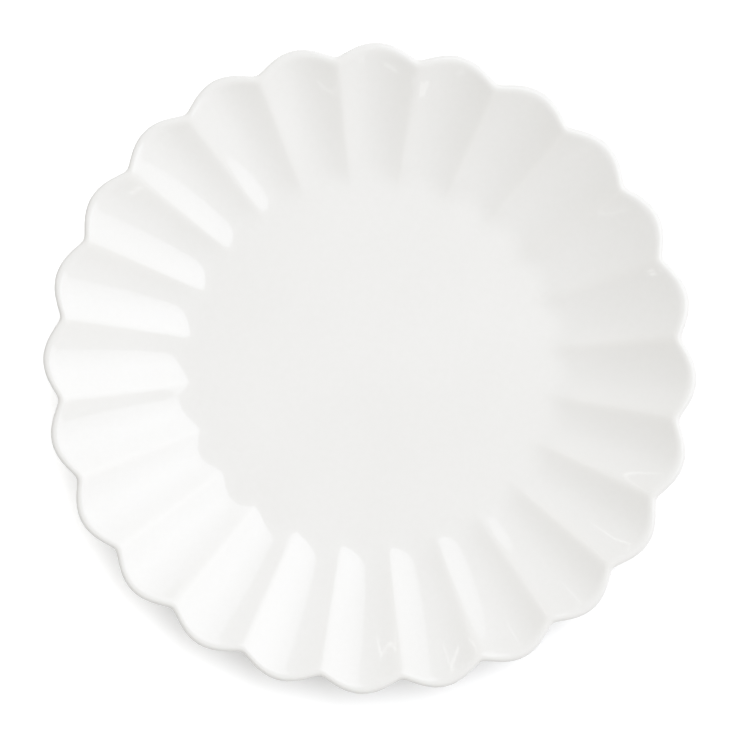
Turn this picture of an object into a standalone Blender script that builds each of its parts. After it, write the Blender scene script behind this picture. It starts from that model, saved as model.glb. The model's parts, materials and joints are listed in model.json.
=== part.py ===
# Fluted stoneware plate with a scalloped lip, in metres, +Z up.
# It stands on its foot ring at z = 0, centred on the Z axis, with a petal centred on +X.

import math

import bpy

# Plan
PLATE_DIAMETER = 0.280    # over the glaze, from petal to petal
PETAL_COUNT = 24
SCALLOP_DEPTH = 0.0057    # how far the lip draws in where two petals meet
WELL_RADIUS = 0.0735      # flat floor, out to the inner ends of the ridges

# Fluted wall
RIDGE_HEIGHT = 0.0036     # ridge over the middle of a petal, at the plate's full radius
RIDGE_SOFTNESS = 0.25     # 0 gives a knife edge, and a large value a plain wave
RIDGE_RUN = 0.0164        # radial run in which a ridge climbs out of the floor
RIDGE_LEAD = 0.005        # how far the ridges reach in past the foot of a petal
WALL_BEND = 0.010         # radial run in which a petal turns up from the floor
SLOPE_AT_BEND = 0.22      # rise over run where that bend ends
SLOPE_AT_LIP = 0.54

# Thickness, over the glaze
WELL_THICKNESS = 0.0050
LIP_THICKNESS = 0.0042

# Foot ring
FOOT_HEIGHT = 0.0030
FOOT_WIDTH = 0.0060
FOOT_INSET = 0.0020       # from the edge of the well in to the ring's outer side
FOOT_FILLET = 0.0015      # where the ring's sides meet the underside
FOOT_ROUNDING = 0.0008    # on the ring's bottom edges
ROOM_SHARE = 0.8          # most of the room beside it that a fillet or rounding may take

# Glaze
GLAZE_THICKNESS = 0.0004
GLAZE_SEAT = 0.0003       # gap between the glaze and the body
GLAZE_LINE = 0.0010       # bare height at the bottom of the foot ring's sides

# Facets
STEPS_PER_PETAL = 4
BEND_STEPS = 4            # rings from the edge of the well to the end of the bend
WALL_STEPS = 3            # rings from there to the lip
LIP_STEPS = 2             # on each half of the round lip
FOOT_STEPS = 2            # on each fillet and rounding of the foot ring
SMOOTH_ANGLE = math.radians(40)
AXIS_MERGE = 0.00001      # points this near the axis become one

PLATE_RADIUS = PLATE_DIAMETER / 2
FLOOR_HEIGHT = FOOT_HEIGHT + WELL_THICKNESS
MIDDLE_HEIGHT = FOOT_HEIGHT + WELL_THICKNESS / 2
PETAL_FOOT = WELL_RADIUS + RIDGE_LEAD
BEND_END = PETAL_FOOT + WALL_BEND
LIP_CENTRE = PLATE_RADIUS - LIP_THICKNESS / 2
FOOT_OUTER = WELL_RADIUS - FOOT_INSET
FOOT_INNER = FOOT_OUTER - FOOT_WIDTH
BODY_INSET = GLAZE_THICKNESS + GLAZE_SEAT
FILLET = min(FOOT_FILLET, ROOM_SHARE * FOOT_INSET, ROOM_SHARE * (FOOT_HEIGHT - GLAZE_LINE))
ROUNDING = min(FOOT_ROUNDING, GLAZE_LINE, ROOM_SHARE * (FOOT_WIDTH / 2 - BODY_INSET))

# Colours as red, green and blue, then roughness
STONEWARE_FINISH = ((0.70, 0.64, 0.55), 0.85)
GLAZE_FINISH = ((0.86, 0.86, 0.84), 0.12)


def petal_slope(radius):
    """Rise over run along the middle of a petal: none on the floor, then the bend, then the wall."""
    bend = min(max(radius - PETAL_FOOT, 0), WALL_BEND)
    wall = max(radius - BEND_END, 0) / (LIP_CENTRE - BEND_END)
    return SLOPE_AT_BEND * bend / WALL_BEND + (SLOPE_AT_LIP - SLOPE_AT_BEND) * wall


def petal_rise(radius):
    """Height of a petal's middle over the floor, which is the run times the mean slope of each stretch."""
    bend = min(max(radius - PETAL_FOOT, 0), WALL_BEND)
    wall = max(radius - BEND_END, 0)
    bend_mean = petal_slope(PETAL_FOOT + bend) / 2
    wall_mean = (SLOPE_AT_BEND + petal_slope(BEND_END + wall)) / 2
    return bend * bend_mean + wall * wall_mean


def ridge_rise(radius):
    """Height of a ridge over the middle of a petal: a soft climb, then as the square of the radius."""
    climb = min(max((radius - WELL_RADIUS) / RIDGE_RUN, 0), 1)
    return RIDGE_HEIGHT * (radius / PLATE_RADIUS) ** 2 * climb * climb * (3 - 2 * climb)


def ridge_share(angle):
    """0 along the middle of a petal and 1 on the ridge between two: a rounded valley of a cosine's size."""
    size = math.hypot(math.cos(PETAL_COUNT * angle / 2), RIDGE_SOFTNESS) - RIDGE_SOFTNESS
    return 1 - size / (math.hypot(1, RIDGE_SOFTNESS) - RIDGE_SOFTNESS)


def arc(centre, radius, start, end, steps):
    """Points on an arc in the radius and height plane, from one angle to the other."""
    angles = [start + (end - start) * step / steps for step in range(steps + 1)]
    return [(centre[0] + radius * math.cos(a), centre[1] + radius * math.sin(a)) for a in angles]


def wall_rings():
    """Radii on the wall's middle line, from the edge of the well to the middle of the lip."""
    bend = [WELL_RADIUS + (BEND_END - WELL_RADIUS) * step / BEND_STEPS for step in range(BEND_STEPS)]
    wall = [BEND_END + (LIP_CENTRE - BEND_END) * step / WALL_STEPS for step in range(WALL_STEPS)]
    return bend + wall


def wall_side(inset, side):
    """Points along one side of the turned wall: 1 for the face, -1 for the back."""
    points = []
    for radius in wall_rings():
        outward = (radius - WELL_RADIUS) / (LIP_CENTRE - WELL_RADIUS)
        thickness = WELL_THICKNESS + (LIP_THICKNESS - WELL_THICKNESS) * outward
        tilt = math.atan(petal_slope(radius))
        away = side * (thickness / 2 - inset)
        height = MIDDLE_HEIGHT + petal_rise(radius)
        points.append((radius - away * math.sin(tilt), height + away * math.cos(tilt)))
    return points


def lip(inset):
    """The round lip, from the face out to the edge and on to the back."""
    tilt = math.atan(petal_slope(LIP_CENTRE))
    centre = (LIP_CENTRE, MIDDLE_HEIGHT + petal_rise(LIP_CENTRE))
    radius = LIP_THICKNESS / 2 - inset
    upper = arc(centre, radius, tilt + math.pi / 2, 0, LIP_STEPS)
    lower = arc(centre, radius, 0, tilt - math.pi / 2, LIP_STEPS)
    return upper + lower[1:]


def foot_side(inset, outer, bottom):
    """One side of the foot ring, from the fillet under the plate down to a height."""
    if outer:
        centre = (FOOT_OUTER + FILLET, FOOT_HEIGHT - FILLET)
        points = arc(centre, FILLET + inset, math.pi / 2, math.pi, FOOT_STEPS)
    else:
        centre = (FOOT_INNER - FILLET, FOOT_HEIGHT - FILLET)
        points = arc(centre, FILLET + inset, math.pi / 2, 0, FOOT_STEPS)
    return points + [(points[-1][0], bottom)]


def outside(inset, bottom):
    """Profile from the middle of the floor over the lip and down the foot ring's outer side."""
    middle = [(0, FLOOR_HEIGHT - inset)]
    back = wall_side(inset, -1)[::-1]
    return middle + wall_side(inset, 1) + lip(inset) + back + foot_side(inset, True, bottom)


def recess(inset, bottom):
    """Profile from the middle of the underside out and down the foot ring's inner side."""
    return [(0, FOOT_HEIGHT + inset)] + foot_side(inset, False, bottom)


def foot_bottom(inset):
    """The ring's bottom edges, each a quarter round, and between them the flat that the plate stands on."""
    outer = (FOOT_OUTER - inset - ROUNDING, ROUNDING)
    inner = (FOOT_INNER + inset + ROUNDING, ROUNDING)
    outer_edge = arc(outer, ROUNDING, 0, -math.pi / 2, FOOT_STEPS)
    inner_edge = arc(inner, ROUNDING, -math.pi / 2, -math.pi, FOOT_STEPS)
    return outer_edge[1:] + inner_edge[:-1]


def turned(name, profile):
    """A solid turned round the Z axis from a profile of radius and height."""
    mesh = bpy.data.meshes.new(name + "_profile")
    edges = [(index, index + 1) for index in range(len(profile) - 1)]
    mesh.from_pydata([(radius, 0, height) for radius, height in profile], edges, [])
    blank = bpy.data.objects.new(name + "_profile", mesh)
    bpy.context.scene.collection.objects.link(blank)
    screw = blank.modifiers.new("turn", "SCREW")
    screw.steps = screw.render_steps = PETAL_COUNT * STEPS_PER_PETAL
    screw.use_merge_vertices = True
    screw.merge_threshold = AXIS_MERGE
    graph = bpy.context.evaluated_depsgraph_get()
    turned_mesh = bpy.data.meshes.new_from_object(blank.evaluated_get(graph))
    bpy.data.objects.remove(blank)
    turned_mesh.name = name
    return turned_mesh


def press_flutes(mesh):
    """Presses the petals into a turned blank: the wall draws in and rises towards each ridge."""
    for vertex in mesh.vertices:
        radius = math.hypot(vertex.co.x, vertex.co.y)
        if radius <= WELL_RADIUS:
            continue
        share = ridge_share(math.atan2(vertex.co.y, vertex.co.x))
        outward = (radius - WELL_RADIUS) / (PLATE_RADIUS - WELL_RADIUS)
        drawn = radius - SCALLOP_DEPTH * share * outward
        rise = petal_rise(drawn) - petal_rise(radius) + ridge_rise(drawn) * share
        vertex.co.x *= drawn / radius
        vertex.co.y *= drawn / radius
        vertex.co.z += rise


def finish(name, colour, roughness):
    """A plain Principled material."""
    material = bpy.data.materials.new(name)
    material.use_nodes = True
    shader = material.node_tree.nodes["Principled BSDF"]
    shader.inputs["Base Color"].default_value = (*colour, 1)
    shader.inputs["Roughness"].default_value = roughness
    shader.inputs["Metallic"].default_value = 0
    return material


def piece(name, profile, material, collection):
    """A turned and pressed piece of the plate, as its own object."""
    mesh = turned(name, profile)
    press_flutes(mesh)
    mesh.shade_smooth()
    mesh.set_sharp_from_angle(angle=SMOOTH_ANGLE)
    mesh.materials.clear()
    mesh.materials.append(material)
    collection.objects.link(bpy.data.objects.new(name, mesh))


def build():
    for leftover in list(bpy.data.objects):
        bpy.data.objects.remove(leftover)
    plate = bpy.data.collections.new("fluted_plate")
    bpy.context.scene.collection.children.link(plate)
    stoneware = finish("bare_stoneware", *STONEWARE_FINISH)
    glaze = finish("white_glaze", *GLAZE_FINISH)

    body = outside(BODY_INSET, ROUNDING) + foot_bottom(BODY_INSET) + recess(BODY_INSET, ROUNDING)[::-1]
    coat = outside(0, GLAZE_LINE) + outside(GLAZE_THICKNESS, GLAZE_LINE)[::-1]
    patch = recess(GLAZE_THICKNESS, GLAZE_LINE) + recess(0, GLAZE_LINE)[::-1]
    piece("stoneware_body", body, stoneware, plate)
    piece("glaze_coat", coat, glaze, plate)
    piece("recess_glaze", patch, glaze, plate)


build()
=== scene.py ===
import json
import math

import bpy
import numpy as np
from mathutils import Matrix, Vector


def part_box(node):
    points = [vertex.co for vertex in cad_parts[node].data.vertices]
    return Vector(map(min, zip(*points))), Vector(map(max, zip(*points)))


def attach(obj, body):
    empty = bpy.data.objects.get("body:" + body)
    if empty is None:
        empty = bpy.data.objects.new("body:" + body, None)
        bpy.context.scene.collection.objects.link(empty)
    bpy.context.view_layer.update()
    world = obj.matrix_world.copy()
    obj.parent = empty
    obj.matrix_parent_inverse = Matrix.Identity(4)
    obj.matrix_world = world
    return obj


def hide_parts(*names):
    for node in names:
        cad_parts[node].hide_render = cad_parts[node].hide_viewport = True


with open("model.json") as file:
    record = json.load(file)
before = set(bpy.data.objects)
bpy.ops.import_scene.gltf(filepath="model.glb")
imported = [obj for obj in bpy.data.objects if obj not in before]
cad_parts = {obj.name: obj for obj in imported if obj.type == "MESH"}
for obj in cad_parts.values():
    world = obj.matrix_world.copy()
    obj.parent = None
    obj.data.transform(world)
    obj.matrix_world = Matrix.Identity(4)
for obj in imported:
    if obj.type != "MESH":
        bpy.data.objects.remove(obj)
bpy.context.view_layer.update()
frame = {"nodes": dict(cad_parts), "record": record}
print("frame loaded:", sorted(frame["nodes"]))

mountPlaces = {mount["name"]: mount["pos_m"] for mount in frame["record"]["mounts"]}

# The plate's form, shared by its three pieces. Lengths in metres.
plateForm = {
    "petalCount": 24,
    "scallopDepth": 0.0057,     # how far the lip draws in where two petals meet
    "wellRadius": 0.0735,       # flat floor, out to the inner ends of the ridges
    "ridgeHeight": 0.0036,      # ridge over the middle of a petal, at the full radius
    "ridgeSoftness": 0.17,      # 0 would be a knife edge
    "ridgeRun": 0.0164,         # radial run in which a ridge climbs out of the floor
    "ridgeLead": 0.005,         # how far the ridges reach in past the foot of a petal
    "wallBend": 0.010,          # radial run in which a petal turns up
    "slopeAtBend": 0.22,        # rise over run where that bend ends
    "slopeAtLip": 0.54,
    "wellThickness": 0.0050,
    "lipThickness": 0.0042,
    "rollRun": 0.0036,          # radial run in which the face rolls level before the lip
    "lipReach": 0.0023,         # from the crest of the lip out to its edge
    "lipFall": 0.0026,          # and down to its edge
    "lipSquareness": 2.6,       # power of the curve between them, where 2 is an ellipse
    "lipTuck": (0.7, 0.6),      # how long its underside holds the edge's and the back's directions, in falls
    "footWidth": 0.0060,
    "footFillet": 0.0015,       # where the foot ring's sides meet the underside
    "footRounding": 0.0008,     # on the foot ring's bottom edges
    "glazeThickness": 0.0004,
    "bodyInset": 0.0007,        # glaze and the seat under it
    "glazeLine": 0.0010,        # bare height at the bottom of the foot ring
}

# How the plate departs from a perfect pressing. A wave is its count round the plate, its size and the
# degrees of a crest.
handMade = {
    # share of the radius
    "planWaves": [(1, 0.0016, 8), (2, 0.0040, -26.5), (3, 0.0005, -40), (4, 0.0011, 34),
                  (5, 0.0009, -28.7), (6, 0.0011, -20.5), (9, 0.0006, 8.9)],
    # degrees round the plate
    "turnWaves": [(1, 0.155, 135), (2, 0.21, 109), (4, 0.115, 7)],
    # metres up at the lip, and metres up at the glaze line
    "liftWaves": [(2, 0.00025, 20), (3, 0.00015, 75), (5, 0.00008, 10)],
    "glazeWaves": [(7, 0.00008, 11), (17, 0.00005, 3)],
    # metres that the rim lies off the well's centre, and towards which degrees
    "rimShift": (0.0015, -88.2),
    # glaze runs thin off the ridges, and the ridges get a little painted shade: power of the nearness to
    # one, and how soon out from the well
    "thinning": (3, 3),
}

meshDetail = {
    "stepsPerPetal": 24,
    "ridgeCrowding": 0.6,       # 0 spaces the steps evenly, and towards 1 they gather on the ridges
    "lineSteps": 400,           # samples of the wall's middle line
    "footSideRings": 3,         # down the straight part of the foot ring's sides
    "sharpAngle": 50,           # degrees, past which an edge is shaded sharp
}

petalCount = plateForm["petalCount"]
wellRadius = plateForm["wellRadius"]
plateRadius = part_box("glaze_coat")[1].x
floorHeight = mountPlaces["well_floor"][2]
footHeight = floorHeight - plateForm["wellThickness"]
middleHeight = footHeight + plateForm["wellThickness"] / 2
petalFoot = wellRadius + plateForm["ridgeLead"]
bendEnd = petalFoot + plateForm["wallBend"]
lipCentre = plateRadius - plateForm["lipThickness"] / 2
crestRadius = plateRadius - plateForm["lipReach"]
backEnd = plateRadius - 2 * plateForm["lipReach"]      # where the back ends and the lip's underside starts
footOuter = mountPlaces["foot_seat"][0] + plateForm["footWidth"] / 2
footInner = footOuter - plateForm["footWidth"]


def petalSlope(radius):
    # rise over run along the middle of a petal: a straight climb over the bend, then a slower one outward
    bend = np.clip((radius - petalFoot) / plateForm["wallBend"], 0, 1)
    wall = np.clip((radius - bendEnd) / (lipCentre - bendEnd), 0, None)
    return plateForm["slopeAtBend"] * bend + (plateForm["slopeAtLip"] - plateForm["slopeAtBend"]) * wall


def petalRise(radius):
    # height of a petal's middle over the floor: each stretch's run times its mean slope
    bend = np.clip(radius - petalFoot, 0, plateForm["wallBend"])
    wall = np.clip(radius - bendEnd, 0, None)
    bendMean = petalSlope(petalFoot + bend) / 2
    wallMean = (plateForm["slopeAtBend"] + petalSlope(bendEnd + wall)) / 2
    return bend * bendMean + wall * wallMean


def ridgeRise(radius):
    # height of a ridge over a petal's middle: a soft climb times the square of the radius
    climb = np.clip((radius - wellRadius) / plateForm["ridgeRun"], 0, 1)
    return plateForm["ridgeHeight"] * (radius / plateRadius) ** 2 * climb * climb * (3 - 2 * climb)


def ridgeShare(angle):
    # 0 along the middle of a petal and 1 on a ridge: the size of a cosine with its zero rounded off
    soft = plateForm["ridgeSoftness"]
    size = np.hypot(np.cos(petalCount * angle / 2), soft) - soft
    return 1 - size / (math.hypot(1, soft) - soft)


def waveSum(waves, angle):
    # a sum of cosines, each with its own count, size and crest
    return sum(size * np.cos(count * (angle - math.radians(crest))) for count, size, crest in waves)


def roundAngles():
    # even steps bent by a sine, so that they gather on the ridges, half way between whole petals
    even = np.arange(petalCount * meshDetail["stepsPerPetal"]) / meshDetail["stepsPerPetal"]
    gathered = even + meshDetail["ridgeCrowding"] * np.sin(2 * np.pi * even) / (2 * np.pi)
    return gathered * 2 * np.pi / petalCount


def arcPoints(centre, radius, start, end, steps):
    # points at a radius from a centre, at even angles
    turn = np.linspace(start, end, steps + 1)
    return np.stack([centre[0] + radius * np.cos(turn), centre[1] + radius * np.sin(turn)], 1)


def wallLine(radius):
    # the wall's middle line at a radius: its height, its tilt and half the wall's thickness there
    outward = (radius - wellRadius) / (lipCentre - wellRadius)
    thinner = plateForm["lipThickness"] - plateForm["wellThickness"]
    thickness = plateForm["wellThickness"] + thinner * outward
    return middleHeight + petalRise(radius), np.arctan(petalSlope(radius)), thickness / 2


def faceHeight(radius):
    # the middle line moved out along its normal, less a cubic fall that brings it level at the lip's crest
    line = np.linspace(wellRadius, plateRadius, meshDetail["lineSteps"])
    height, tilt, half = wallLine(line)
    face = np.interp(radius, line - half * np.sin(tilt), height + half * np.cos(tilt))
    into = np.clip((radius - crestRadius) / plateForm["rollRun"] + 1, 0, None)
    return face - petalSlope(crestRadius) * plateForm["rollRun"] * into ** 3 / 3


def lipCurve(steps):
    # a quarter of a squared-off ellipse from the crest out to the edge, then a cubic curve into the back
    fall = plateForm["lipFall"]
    power = 2 / plateForm["lipSquareness"]
    turn = np.linspace(math.pi / 2, 0, steps + 1)
    outward = crestRadius + plateForm["lipReach"] * np.cos(turn).clip(0) ** power
    upward = faceHeight(crestRadius) - fall + fall * np.sin(turn).clip(0) ** power
    upper = np.stack([outward, upward], 1)
    height, tilt, half = wallLine(backEnd)
    back = np.array([backEnd + half * np.sin(tilt), height - half * np.cos(tilt)])
    edge = upper[-1]
    underEdge = edge - (0, plateForm["lipTuck"][0] * fall)
    offBack = back + plateForm["lipTuck"][1] * fall * np.array([np.cos(tilt), np.sin(tilt)])
    t = np.linspace(0, 1, steps + 1)[1:-1, None]
    weights = np.concatenate([(1 - t) ** 3, 3 * t * (1 - t) ** 2, 3 * t * t * (1 - t), t ** 3], 1)
    return np.concatenate([upper, weights @ np.array([edge, underEdge, offBack, back])])


def wallProfile(inset, rings):
    # face, lip and back as one line from the edge of the well, moved in along its normal by the inset
    radius = np.concatenate([
        np.linspace(wellRadius, bendEnd, rings["bend"], endpoint=False),
        np.linspace(bendEnd, crestRadius - plateForm["rollRun"], rings["wall"], endpoint=False),
        np.linspace(crestRadius - plateForm["rollRun"], crestRadius, rings["roll"], endpoint=False),
    ])
    face = np.stack([radius, faceHeight(radius)], 1)
    line = np.concatenate([
        np.linspace(backEnd, bendEnd, rings["back"], endpoint=False),
        np.linspace(bendEnd, wellRadius, rings["backBend"]),
    ])
    height, tilt, half = wallLine(line)
    back = np.stack([line + half * np.sin(tilt), height - half * np.cos(tilt)], 1)
    outline = np.concatenate([face, lipCurve(rings["lip"]), back])
    along = np.gradient(outline, axis=0)
    along[0], along[-1] = (1, 0), (-1, 0)
    along /= np.linalg.norm(along, axis=1, keepdims=True)
    return outline - inset * np.stack([-along[:, 1], along[:, 0]], 1)


def footSide(inset, outer, bottom, steps):
    # a quarter round from the underside into the foot ring's side, then straight down
    fillet = plateForm["footFillet"]
    centre = (footOuter + fillet if outer else footInner - fillet, footHeight - fillet)
    curve = arcPoints(centre, fillet + inset, math.pi / 2, math.pi if outer else 0, steps)
    down = np.linspace(curve[-1, 1], bottom, meshDetail["footSideRings"] + 1)[1:]
    return np.concatenate([curve, np.stack([np.full(len(down), curve[-1, 0]), down], 1)])


def outsideProfile(inset, bottom, rings):
    # the middle of the floor, the face, the lip, the back and the foot ring's outer side
    floor = np.linspace(0, wellRadius, rings["floor"], endpoint=False)
    return np.concatenate([
        np.stack([floor, np.full(len(floor), floorHeight - inset)], 1),
        wallProfile(inset, rings),
        footSide(inset, True, bottom, rings["foot"]),
    ])


def recessProfile(inset, bottom, rings):
    # the middle of the underside, then the foot ring's inner side
    flat = np.linspace(0, footInner - plateForm["footFillet"], rings["floor"], endpoint=False)
    level = np.stack([flat, np.full(len(flat), footHeight + inset)], 1)
    return np.concatenate([level, footSide(inset, False, bottom, rings["foot"])])


def footBottom(inset, rings):
    # two quarter rounds with the flat that the plate stands on between them
    rounding, steps = plateForm["footRounding"], rings["foot"]
    outer = arcPoints((footOuter - inset - rounding, rounding), rounding, 0, -math.pi / 2, steps)
    inner = arcPoints((footInner + inset + rounding, rounding), rounding, -math.pi / 2, -math.pi, steps)
    return np.concatenate([outer[1:], inner[:-1]])


def pressedSurface(profile):
    # a profile turned round Z, with the flutes pressed into it and then the waves of a hand-made plate.
    # Past the well a point draws in by the scallop, follows the petal's rise to its new radius, and gains
    # the ridge. The waves lift it, spread it and turn it, and it shifts aside as the square of its radius.
    radius = profile[:, :1]
    height = profile[:, 1:]
    angle = roundAngles()[None, :]
    share = ridgeShare(angle)
    outward = np.clip((radius - wellRadius) / (plateRadius - wellRadius), 0, None)
    drawn = radius - plateForm["scallopDepth"] * share * outward
    rise = petalRise(drawn) - petalRise(radius) + ridgeRise(drawn) * share
    rise = rise + waveSum(handMade["liftWaves"], angle) * np.clip(outward, 0, 1) ** 2
    line = plateForm["glazeLine"]
    low = np.clip(1 - (height - line) / line, 0, 1) * (height >= line)
    rise = rise + waveSum(handMade["glazeWaves"], angle) * low
    spread = drawn * (1 + waveSum(handMade["planWaves"], angle) * drawn / plateRadius)
    turned = angle + np.radians(waveSum(handMade["turnWaves"], angle))
    shift, towards = handMade["rimShift"]
    aside = shift * (drawn / plateRadius) ** 2
    across = spread * np.cos(turned) + aside * math.cos(math.radians(towards))
    along = spread * np.sin(turned) + aside * math.sin(math.radians(towards))
    points = np.stack([across, along, height + rise], 2)
    # the ridges' mask for a warmer, darker glaze: thin glaze there, and painted shade on the crests
    power, soon = handMade["thinning"]
    ridgeBreakShadeMask = share ** power * np.clip(outward * soon, 0, 1)
    return points, np.broadcast_to(ridgeBreakShadeMask, points.shape[:2])


def closedPiece(name, profile, node, material):
    # a grid of rings, the first and last of them points on the axis: quads between rings, a fan at each end
    points, ridgeBreakShadeMask = pressedSurface(profile)
    rings, steps = points.shape[:2]
    inner = points[1:-1].reshape(-1, 3)
    last = len(inner) + 1
    corners = np.concatenate([points[:1, 0], inner, points[-1:, 0]])
    grid = 1 + np.arange((rings - 2) * steps).reshape(rings - 2, steps)
    beside = np.roll(grid, -1, 1)
    quads = np.stack([grid[:-1], grid[1:], beside[1:], beside[:-1]], 2).reshape(-1, 4)
    startFan = np.stack([np.zeros(steps, int), grid[0], beside[0]], 1)
    endFan = np.stack([np.full(steps, last), beside[-1], grid[-1]], 1)
    mesh = bpy.data.meshes.new(name)
    mesh.from_pydata(corners, [], quads.tolist() + startFan.tolist() + endFan.tolist())
    # the ridge mask is kept on the mesh for the glaze's painted ridge shade
    ridgeBreakShadeValues = np.concatenate([ridgeBreakShadeMask[:1, 0], ridgeBreakShadeMask[1:-1].reshape(-1), ridgeBreakShadeMask[-1:, 0]]).astype(np.float32)
    mesh.attributes.new("thinGlaze", "FLOAT", "POINT").data.foreach_set("value", ridgeBreakShadeValues)
    mesh.shade_smooth()
    mesh.set_sharp_from_angle(angle=math.radians(meshDetail["sharpAngle"]))
    mesh.materials.append(material)
    piece = bpy.data.objects.new(name, mesh)
    bpy.context.scene.collection.objects.link(piece)
    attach(piece, "root")
    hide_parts(node)
    print("piece made:", name, len(mesh.polygons), "faces")


def newMaterial(name):
    # a Principled material with its nodes, its links and its shader
    material = bpy.data.materials.new(name)
    material.use_nodes = True
    nodes = material.node_tree.nodes
    return material, nodes, material.node_tree.links, nodes["Principled BSDF"]


def noiseNode(nodes, links, coords, scale, detail, rough=0.5):
    # noise with a number of cells to the metre, and finer noise in it by the detail
    noise = nodes.new("ShaderNodeTexNoise")
    noise.inputs["Scale"].default_value = scale
    noise.inputs["Detail"].default_value = detail
    noise.inputs["Roughness"].default_value = rough
    links.new(coords, noise.inputs["Vector"])
    return noise.outputs["Fac"]


def rangeNode(nodes, links, value, fromLow, fromHigh, toLow, toHigh):
    # a straight change from one range to another, held at both ends
    node = nodes.new("ShaderNodeMapRange")
    ends = {"From Min": fromLow, "From Max": fromHigh, "To Min": toLow, "To Max": toHigh}
    for socket, number in ends.items():
        node.inputs[socket].default_value = number
    links.new(value, node.inputs["Value"])
    return node.outputs["Result"]


def mixColour(nodes, links, factor, first, second):
    # the first colour where the factor is 0 and the second where it is 1
    mix = nodes.new("ShaderNodeMix")
    mix.data_type = "RGBA"
    links.new(factor, mix.inputs["Factor"])
    for socket, colour in (("A", first), ("B", second)):
        target = next(s for s in mix.inputs if s.name == socket and s.type == "RGBA")
        if isinstance(colour, tuple):
            target.default_value = (*colour, 1)
        else:
            links.new(colour, target)
    return next(s for s in mix.outputs if s.type == "RGBA")


def mathNode(nodes, links, operation, first, second=0):
    # one step of arithmetic on two values, each a number or another node's output
    node = nodes.new("ShaderNodeMath")
    node.operation = operation
    for socket, value in zip(node.inputs, (first, second)):
        if isinstance(value, (int, float)):
            socket.default_value = value
        else:
            links.new(value, socket)
    return node.outputs["Value"]


def vectorNode(nodes, links, operation, first, second=None):
    # one step of arithmetic on a vector, with a fixed second vector where the step takes two
    node = nodes.new("ShaderNodeVectorMath")
    node.operation = operation
    links.new(first, node.inputs[0])
    if second is not None:
        node.inputs[1].default_value = second
    return node.outputs["Vector" if operation == "NORMALIZE" else "Value"]


def bumpNode(nodes, links, height, strength, distance, below=None):
    # a height turned into a normal, on top of another bump if there is one
    bump = nodes.new("ShaderNodeBump")
    bump.inputs["Strength"].default_value = strength
    bump.inputs["Distance"].default_value = distance
    links.new(height, bump.inputs["Height"])
    if below:
        links.new(below, bump.inputs["Normal"])
    return bump.outputs["Normal"]


glazeLook = {
    "white": (0.878, 0.868, 0.845),
    "shadeWhite": (0.860, 0.850, 0.825),
    "thinWhite": (0.872, 0.858, 0.829),     # where the body shows through a thin coat on the ridges, darkened a little there as painted shade
    "thinShare": (0.2, 0.7),                # how much of it, by the clouds
    "noiseBand": (0.3, 0.7),                # noise values between which a look changes
    "cloudScale": 16, "cloudDetail": 3,     # noise cells to the metre
    "speckScale": 420, "speckDetail": 2,
    "speckDrift": (-0.1, 0.1),              # what the specks add to the clouds
    "roughness": (0.03, 0.05),
    "ior": 1.52,
    "swellScale": 70, "swellDepth": 0.000025,
    "peelScale": 700, "peelDepth": 0.000002,
    "bumpDetail": 1, "bumpStrength": 1,
}


def whiteGlaze():
    # glossy white: cloudy between two near whites, warmer and a little darker on the ridges, partly as thin
    # glaze and partly as painted shade, with a faint swell and peel
    material, nodes, links, shader = newMaterial("whiteGlaze")
    coords = nodes.new("ShaderNodeTexCoord").outputs["Object"]
    band, strength = glazeLook["noiseBand"], glazeLook["bumpStrength"]
    clouds = noiseNode(nodes, links, coords, glazeLook["cloudScale"], glazeLook["cloudDetail"])
    specks = noiseNode(nodes, links, coords, glazeLook["speckScale"], glazeLook["speckDetail"])
    speckDrift = rangeNode(nodes, links, specks, *band, *glazeLook["speckDrift"])
    drift = mathNode(nodes, links, "ADD", clouds, speckDrift)
    shade = rangeNode(nodes, links, drift, *band, 0, 1)
    body = mixColour(nodes, links, shade, glazeLook["white"], glazeLook["shadeWhite"])
    # painted shade on the ridges, together with the warmer thin glaze there
    ridgeBreakShadeMask = nodes.new("ShaderNodeAttribute")
    ridgeBreakShadeMask.attribute_name = "thinGlaze"
    thinShare = rangeNode(nodes, links, clouds, *band, *glazeLook["thinShare"])
    ridgeBreakShadeAmount = mathNode(nodes, links, "MULTIPLY", ridgeBreakShadeMask.outputs["Fac"], thinShare)
    colour = mixColour(nodes, links, ridgeBreakShadeAmount, body, glazeLook["thinWhite"])
    links.new(colour, shader.inputs["Base Color"])
    links.new(rangeNode(nodes, links, drift, *band, *glazeLook["roughness"]), shader.inputs["Roughness"])
    shader.inputs["IOR"].default_value = glazeLook["ior"]
    swell = noiseNode(nodes, links, coords, glazeLook["swellScale"], glazeLook["bumpDetail"])
    swollen = bumpNode(nodes, links, swell, strength, glazeLook["swellDepth"])
    peel = noiseNode(nodes, links, coords, glazeLook["peelScale"], glazeLook["bumpDetail"])
    peeled = bumpNode(nodes, links, peel, strength, glazeLook["peelDepth"], swollen)
    links.new(peeled, shader.inputs["Normal"])
    return material


biscuitLook = {
    "clay": (0.74, 0.68, 0.59),
    "toasted": (0.60, 0.51, 0.41),
    "speck": (0.30, 0.22, 0.16),
    "clayScale": 55, "clayDetail": 4,       # noise cells to the metre
    "clayBand": (0.35, 0.7),                # noise values from clay to toasted
    "grainScale": 1500, "grainDetail": 3,
    "grainBand": (0.3, 0.7),                # noise values from the least rough to the roughest
    "grainDepth": 0.00006, "grainStrength": 0.6,
    "noiseRough": 0.6,
    "speckScale": 420,
    "speckEdge": (0.08, 0.2),               # from the middle of a speck, where it fades and where it ends
    "speckStrength": 0.8,
    "speckFrom": 0.72,                      # cells with a random value over this have a speck
    "roughness": (0.78, 0.95),
}


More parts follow.
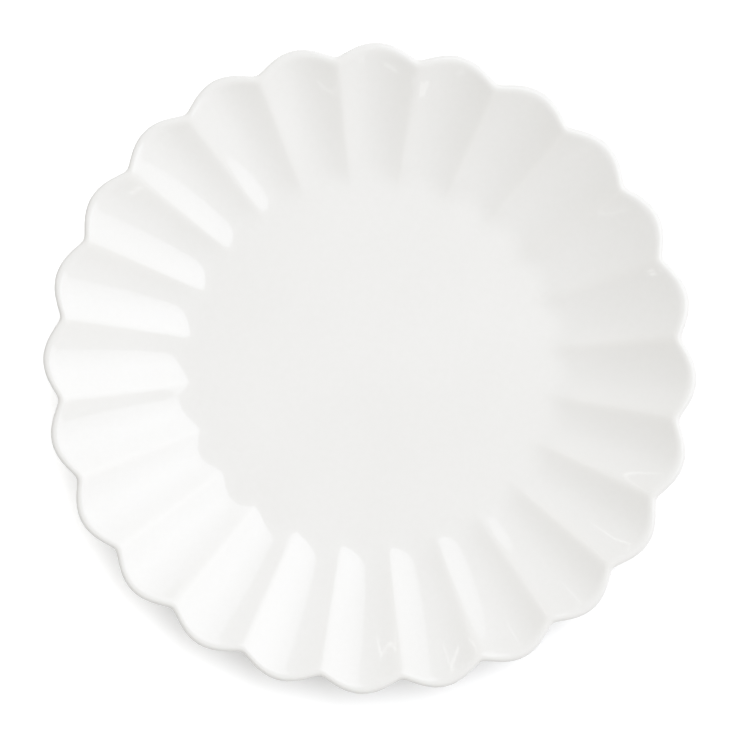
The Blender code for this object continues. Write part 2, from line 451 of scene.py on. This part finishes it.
def bareBiscuit():
    # unglazed clay: two tones in patches, small dark iron specks, and a sandy grain
    material, nodes, links, shader = newMaterial("bareBiscuit")
    coords = nodes.new("ShaderNodeTexCoord").outputs["Object"]
    rough = biscuitLook["noiseRough"]
    patches = noiseNode(nodes, links, coords, biscuitLook["clayScale"], biscuitLook["clayDetail"], rough)
    grain = noiseNode(nodes, links, coords, biscuitLook["grainScale"], biscuitLook["grainDetail"], rough)
    toasting = rangeNode(nodes, links, patches, *biscuitLook["clayBand"], 0, 1)
    tone = mixColour(nodes, links, toasting, biscuitLook["clay"], biscuitLook["toasted"])
    cells = nodes.new("ShaderNodeTexVoronoi")
    cells.inputs["Scale"].default_value = biscuitLook["speckScale"]
    links.new(coords, cells.inputs["Vector"])
    dots = rangeNode(nodes, links, cells.outputs["Distance"], *biscuitLook["speckEdge"],
                     biscuitLook["speckStrength"], 0)
    chosen = nodes.new("ShaderNodeSeparateColor")
    links.new(cells.outputs["Color"], chosen.inputs["Color"])
    few = mathNode(nodes, links, "GREATER_THAN", chosen.outputs["Red"], biscuitLook["speckFrom"])
    specks = mathNode(nodes, links, "MULTIPLY", dots, few)
    links.new(mixColour(nodes, links, specks, tone, biscuitLook["speck"]), shader.inputs["Base Color"])
    roughness = rangeNode(nodes, links, grain, *biscuitLook["grainBand"], *biscuitLook["roughness"])
    links.new(roughness, shader.inputs["Roughness"])
    sand = bumpNode(nodes, links, grain, biscuitLook["grainStrength"], biscuitLook["grainDepth"])
    links.new(sand, shader.inputs["Normal"])
    return material


whiteGlazeMaterial = whiteGlaze()
bareBiscuitMaterial = bareBiscuit()
print("materials made")

coatRings = {"floor": 6, "bend": 20, "wall": 24, "roll": 10, "lip": 12, "back": 12, "backBend": 10,
             "foot": 5}
coatInnerRings = {"floor": 3, "bend": 6, "wall": 6, "roll": 3, "lip": 4, "back": 5, "backBend": 5,
                  "foot": 3}
coatProfile = np.concatenate([
    outsideProfile(0, plateForm["glazeLine"], coatRings),
    outsideProfile(plateForm["glazeThickness"], plateForm["glazeLine"], coatInnerRings)[::-1],
])
closedPiece("glazeCoat", coatProfile, "glaze_coat", whiteGlazeMaterial)

bodyRings = {"floor": 4, "bend": 8, "wall": 8, "roll": 4, "lip": 4, "back": 6, "backBend": 6, "foot": 6}
bodyInset = plateForm["bodyInset"]
footRounding = plateForm["footRounding"]
bodyProfile = np.concatenate([
    outsideProfile(bodyInset, footRounding, bodyRings),
    footBottom(bodyInset, bodyRings),
    recessProfile(bodyInset, footRounding, bodyRings)[::-1],
])
closedPiece("stonewareBody", bodyProfile, "stoneware_body", bareBiscuitMaterial)

recessRings = {"floor": 8, "foot": 6}
recessGlazeProfile = np.concatenate([
    recessProfile(plateForm["glazeThickness"], plateForm["glazeLine"], recessRings),
    recessProfile(0, plateForm["glazeLine"], recessRings)[::-1],
])
closedPiece("recessGlaze", recessGlazeProfile, "recess_glaze", whiteGlazeMaterial)

# Camera straight above the plate, placed by the plate's size and centre in a picture 740 pixels wide
cameraSetup = {
    "height": 2.0,
    "turn": 1.77,               # degrees, which shows the petal on +X a little below level
    "rimPixels": 326.97,        # from the centre to a petal's edge
    "pictureWidth": 740,
    "centreRight": -0.15,       # pixels from the picture's middle to the plate's centre
    "centreUp": 5.05,
    "sensor": 36,
    "clip": (0.05, 50),
}


def overheadCamera():
    # a lens that shows the plate's radius, at the height of its rim, as the wanted number of pixels
    rimHeight = middleHeight + petalRise(lipCentre)
    pixel = plateRadius / cameraSetup["rimPixels"]
    data = bpy.data.cameras.new("overhead")
    data.sensor_width = cameraSetup["sensor"]
    shown = pixel * cameraSetup["pictureWidth"]
    data.lens = cameraSetup["sensor"] * (cameraSetup["height"] - rimHeight) / shown
    data.clip_start, data.clip_end = cameraSetup["clip"]
    camera = bpy.data.objects.new("overhead", data)
    turn = Matrix.Rotation(math.radians(cameraSetup["turn"]), 4, "Z")
    away = turn @ Vector((-cameraSetup["centreRight"] * pixel, -cameraSetup["centreUp"] * pixel, 0))
    camera.matrix_world = Matrix.Translation(away + Vector((0, 0, cameraSetup["height"]))) @ turn
    bpy.context.scene.collection.objects.link(camera)
    bpy.context.scene.camera = camera


overheadCamera()
print("camera placed")

# One wide soft panel with rounded corners, high on the right, and two pale boards, in an even pale room.
# Thin gaps in the room's walls glint on the glaze.
lightSetup = {
    "roomLevel": 0.674,
    "roomColour": (1.005, 1.0, 0.982),
    "panelLevel": 1.795,            # radiance over the room's, where it is brightest
    "panelColour": (0.962, 1.0, 1.087),
    "panelAzimuth": 33.2,           # degrees
    "panelZenith": 70.7,            # of the panel's normal
    "panelDistance": 6.0,
    "panelHalfWidth": 0.90,         # these four in distances
    "panelHalfHeight": 0.97,
    "panelRaise": 0.95,             # the middle of the panel over its normal, towards the zenith
    "panelAcross": 0.03,
    "panelSquareness": 2.5,         # power of its outline, where 2 is an ellipse
    "panelEdge": 0.07,              # share of the way out in which its edge fades
    "panelSideLoss": 0.52,          # share lost at the sides
    "panelBrightAcross": -0.12,     # where it is brightest between them, from -1 to 1
    "panelFootLoss": 0.40,          # share lost at the foot
    "panelBright": 0.65,            # how far up it is brightest, from 0 to 1
    # azimuth, zenith, half width and half height in distances, and level
    "boards": [(135, 48, 0.50, 0.50, 0.30), (315, 55, 0.45, 0.45, 0.33)],
    # azimuth, zenith, lean to the right, half width and half height in distances, and level
    "gaps": [(121, 46, -15, 0.016, 0.058, 1.3), (131, 50, -80, 0.009, 0.125, 1.6),
             (247, 51.7, 73.5, 0.010, 0.13, 0.9), (231, 56.6, 0, 0.008, 0.012, 2.2),
             (291, 53.2, 28, 0.014, 0.035, 1.3), (295.5, 54.0, 60, 0.010, 0.03, 1.5)],
}


def aimVector(azimuth, zenith):
    # the unit vector towards an azimuth and a zenith angle in degrees
    turn, lean = math.radians(azimuth), math.radians(zenith)
    return Vector((math.sin(lean) * math.cos(turn), math.sin(lean) * math.sin(turn), math.cos(lean)))


def areaLight(name, azimuth, zenith, halfWidth, halfHeight, level, across=0, raised=0, lean=0):
    # a rectangle that faces the plate from a direction, with its sizes and its offsets in distances
    distance = lightSetup["panelDistance"]
    normal = aimVector(azimuth, zenith)
    sideways = Matrix.Rotation(math.radians(-lean), 3, normal) @ aimVector(azimuth + 90, 90)
    upward = normal.cross(sideways)
    data = bpy.data.lights.new(name, "AREA")
    data.shape = "RECTANGLE"
    data.size, data.size_y = 2 * halfWidth * distance, 2 * halfHeight * distance
    data.energy = level * math.pi * data.size * data.size_y
    light = bpy.data.objects.new(name, data)
    turn = Matrix((sideways, upward, normal)).transposed().to_4x4()   # shines along its own -Z
    middle = (normal + raised * upward + across * sideways) * distance
    light.matrix_world = Matrix.Translation(middle) @ turn
    light.visible_camera = False
    bpy.context.scene.collection.objects.link(light)
    return data


def outwardShare(data, squareness):
    # nodes for the place on a light, and for the summed powers of its distances from the two middle lines
    data.use_nodes = True
    nodes, links = data.node_tree.nodes, data.node_tree.links
    place = nodes.new("ShaderNodeSeparateXYZ")
    links.new(nodes.new("ShaderNodeNewGeometry").outputs["Parametric"], place.inputs["Vector"])
    powers = []
    for axis in ("X", "Y"):
        signed = rangeNode(nodes, links, place.outputs[axis], 0, 1, -1, 1)
        size = mathNode(nodes, links, "ABSOLUTE", signed)
        powers.append(mathNode(nodes, links, "POWER", size, squareness))
    return nodes, links, place, mathNode(nodes, links, "ADD", *powers)


def softPanel():
    # its strength falls straight to its sides and its foot, and its outline is a squared-off ellipse
    data = areaLight("softPanel", lightSetup["panelAzimuth"], lightSetup["panelZenith"],
                     lightSetup["panelHalfWidth"], lightSetup["panelHalfHeight"], lightSetup["panelLevel"],
                     lightSetup["panelAcross"], lightSetup["panelRaise"])
    data.color = lightSetup["panelColour"]
    nodes, links, place, outward = outwardShare(data, lightSetup["panelSquareness"])
    share = rangeNode(nodes, links, outward, 1 - lightSetup["panelEdge"], 1, 1, 0)
    bright = lightSetup["panelBrightAcross"]
    signed = rangeNode(nodes, links, place.outputs["X"], 0, 1, -1 - bright, 1 - bright)
    aside = mathNode(nodes, links, "ABSOLUTE", signed)
    sideShare = rangeNode(nodes, links, aside, 0, 1, 1, 1 - lightSetup["panelSideLoss"])
    footShare = rangeNode(nodes, links, place.outputs["Y"], 0, lightSetup["panelBright"],
                          1 - lightSetup["panelFootLoss"], 1)
    fall = mathNode(nodes, links, "MULTIPLY", sideShare, footShare)
    links.new(mathNode(nodes, links, "MULTIPLY", share, fall), nodes["Emission"].inputs["Strength"])


def paleBoards():
    # each fades out as the square of the distance from its middle
    for index, board in enumerate(lightSetup["boards"]):
        nodes, links, _, outward = outwardShare(areaLight(f"paleBoard{index}", *board), 2)
        links.new(rangeNode(nodes, links, outward, 0, 1, 1, 0), nodes["Emission"].inputs["Strength"])


def wallGaps():
    # plain thin rectangles, each leaning its own way
    for index, (azimuth, zenith, lean, halfWidth, halfHeight, level) in enumerate(lightSetup["gaps"]):
        areaLight(f"wallGap{index}", azimuth, zenith, halfWidth, halfHeight, level, lean=lean)


def seenNotLit(nodes, links):
    # 1 for rays that show a backdrop, from the camera or by a reflection, and 0 for rays that light
    path = nodes.new("ShaderNodeLightPath")
    seen = mathNode(nodes, links, "MAXIMUM", path.outputs["Is Camera Ray"], path.outputs["Is Glossy Ray"])
    return mathNode(nodes, links, "MAXIMUM", seen, path.outputs["Is Transmission Ray"])


def paleRoom():
    # white where it is seen, and a little duller in what it lights
    world = bpy.data.worlds.new("paleRoom")
    bpy.context.scene.world = world
    world.use_nodes = True
    nodes, links = world.node_tree.nodes, world.node_tree.links
    level = rangeNode(nodes, links, seenNotLit(nodes, links), 0, 1, lightSetup["roomLevel"], 1)
    links.new(level, nodes["Background"].inputs["Strength"])
    nodes["Background"].inputs["Color"].default_value = (*lightSetup["roomColour"], 1)


# White floor. A little of its own light, for the eye alone, lifts it to white. The lift falls off into a
# soft round shadow under the plate, which lies a little way out on the side away from the panel. On that
# side, past the plate's edge, the floor also throws less light back up on the lip.
floorSetup = {
    "halfWidth": 6.0,
    "colour": (0.80, 0.80, 0.80),
    "roughness": 0.9,
    "plainLift": 0.75,
    "shadeAzimuth": 268.0,              # degrees, from the plate's centre to the shadow's
    "shadeOffset": 0.019,               # metres
    "shadeRadii": (0.1065, 0.1475),     # where the shadow has its full depth, and where it ends
    "dullAzimuth": 226.0,               # degrees, towards the middle of the duller side
    "dullSpread": (-0.35, 0.5),         # cosines from there at which the loss starts and is full
    "dullRadii": (0.145, 0.19),         # and the same in metres from the plate's centre
    "dullLoss": 0.95,
}


def whiteFloor():
    # a square whose lift grows straight out from the shadow, and whose loss is a product of straight shares
    half = floorSetup["halfWidth"]
    corners = [(-half, -half, 0), (half, -half, 0), (half, half, 0), (-half, half, 0)]
    mesh = bpy.data.meshes.new("whiteFloor")
    mesh.from_pydata(corners, [], [(0, 1, 2, 3)])
    material, nodes, links, shader = newMaterial("whiteFloor")
    shader.inputs["Roughness"].default_value = floorSetup["roughness"]
    shader.inputs["Specular IOR Level"].default_value = 0
    coords = nodes.new("ShaderNodeTexCoord").outputs["Object"]
    seen = seenNotLit(nodes, links)
    shadeCentre = floorSetup["shadeOffset"] * aimVector(floorSetup["shadeAzimuth"], 90)
    away = vectorNode(nodes, links, "DISTANCE", coords, shadeCentre)
    lift = rangeNode(nodes, links, away, *floorSetup["shadeRadii"], 0, floorSetup["plainLift"])
    shader.inputs["Emission Color"].default_value = (1, 1, 1, 1)
    links.new(mathNode(nodes, links, "MULTIPLY", lift, seen), shader.inputs["Emission Strength"])
    unit = vectorNode(nodes, links, "NORMALIZE", coords)
    towards = vectorNode(nodes, links, "DOT_PRODUCT", unit, aimVector(floorSetup["dullAzimuth"], 90))
    dull = rangeNode(nodes, links, towards, *floorSetup["dullSpread"], 0, floorSetup["dullLoss"])
    length = vectorNode(nodes, links, "LENGTH", coords)
    far = rangeNode(nodes, links, length, *floorSetup["dullRadii"], 0, 1)
    lighting = mathNode(nodes, links, "SUBTRACT", 1, seen)
    loss = mathNode(nodes, links, "MULTIPLY", mathNode(nodes, links, "MULTIPLY", dull, far), lighting)
    links.new(mixColour(nodes, links, loss, floorSetup["colour"], (0, 0, 0)), shader.inputs["Base Color"])
    mesh.materials.append(material)
    floor = bpy.data.objects.new("whiteFloor", mesh)
    bpy.context.scene.collection.objects.link(floor)


softPanel()
paleBoards()
wallGaps()
paleRoom()
whiteFloor()
bpy.context.scene.view_settings.view_transform = "Standard"
print("light and floor set")
